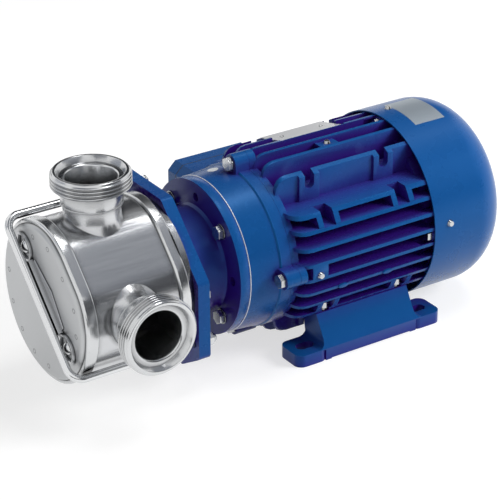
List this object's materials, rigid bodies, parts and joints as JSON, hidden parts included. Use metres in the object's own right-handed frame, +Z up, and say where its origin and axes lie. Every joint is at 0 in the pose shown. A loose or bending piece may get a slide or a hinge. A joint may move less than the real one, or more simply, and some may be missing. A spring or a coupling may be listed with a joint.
{
  "type": "flexible impeller pump",
  "caption": "Stainless flexible impeller pump with two threaded ports at right angles, a bail-clamped cover, and a finned foot-mounted electric motor.",
  "frame": {"origin": "centre of the foot hole pattern on the base plane", "axes": "+X along the shaft from the pump head to the motor fan, +Z up, the side port points along -Y"},
  "size_m": [0.5108, 0.2649, 0.2251],
  "materials": {
    "stainless": "satin to polished",
    "cover_steel": "fine satin",
    "bright_steel": "zinc-plated",
    "shaft_steel": "ground",
    "blue_casting": "blue gloss paint on cast aluminium",
    "blue_sheet": "blue gloss paint on sheet steel",
    "core_iron": "stacked sheet",
    "copper_wire": "varnished",
    "impeller_rubber": "moulded",
    "gasket_rubber": "matt",
    "seal_face": "lapped",
    "fan_plastic": "moulded",
    "black_plastic": "moulded",
    "plate_metal": "bare, no marking"
  },
  "bodies": {
    "pump": {"pump_casing": "stainless", "top_union": "stainless", "side_union": "stainless", "cover_rail": "stainless", "rail_studs": "stainless", "front_cover": "cover_steel", "casing_bolts": "bright_steel", "lantern_bolts": "bright_steel", "lantern_washers": "bright_steel", "shield_bolts": "bright_steel", "rear_shield_bolts": "bright_steel", "foot_bolts": "bright_steel", "foot_nuts": "bright_steel", "cowl_screws": "bright_steel", "lid_screws": "bright_steel", "box_screws": "bright_steel", "frame_screws": "bright_steel", "nameplate_rivets": "bright_steel", "bearing_spring": "bright_steel", "bail_springs": "bright_steel", "front_bearing_outer": "shaft_steel", "rear_bearing_outer": "shaft_steel", "lantern": "blue_casting", "drive_end_shield": "blue_casting", "stator_frame": "blue_casting", "rear_end_shield": "blue_casting", "foot_left": "blue_casting", "foot_right": "blue_casting", "terminal_box": "blue_casting", "box_lid": "blue_casting", "fan_cowl": "blue_sheet", "stator_core": "core_iron", "windings": "copper_wire", "cover_gasket": "gasket_rubber", "box_gasket": "gasket_rubber", "seal_seat": "seal_face", "cable_gland": "black_plastic", "terminal_block": "black_plastic", "nameplate": "plate_metal"},
    "rotor": {"impeller_hub": "shaft_steel", "impeller_vanes": "impeller_rubber", "impeller_key": "shaft_steel", "impeller_screw": "bright_steel", "impeller_washer": "bright_steel", "seal_ring": "seal_face", "seal_spring": "shaft_steel", "pump_shaft": "shaft_steel", "shaft_key": "shaft_steel", "coupling_screws": "bright_steel", "rotor_core": "core_iron", "motor_shaft": "shaft_steel", "front_bearing_inner": "shaft_steel", "rear_bearing_inner": "shaft_steel", "front_bearing_balls": "shaft_steel", "rear_bearing_balls": "shaft_steel", "fan": "fan_plastic", "fan_clip": "bright_steel"},
    "bail": {"bail": "stainless", "bail_nuts": "stainless", "bail_washers": "stainless"}
  },
  "joints": [
    {"name": "rotor_spin", "type": "hinge", "parent": "pump", "child": "rotor", "pos_m": [0, 0, 0.1], "axis": [1, 0, 0], "continuous": true, "deforming": ["impeller_vanes"]},
    {"name": "bail_pull", "type": "slide", "parent": "pump", "child": "bail", "axis": [-1, 0, 0], "range_m": [0, 0.004], "stiffness_N_per_m": 20000, "springref_m": -0.001, "deforming": ["bail_springs"]}
  ]
}
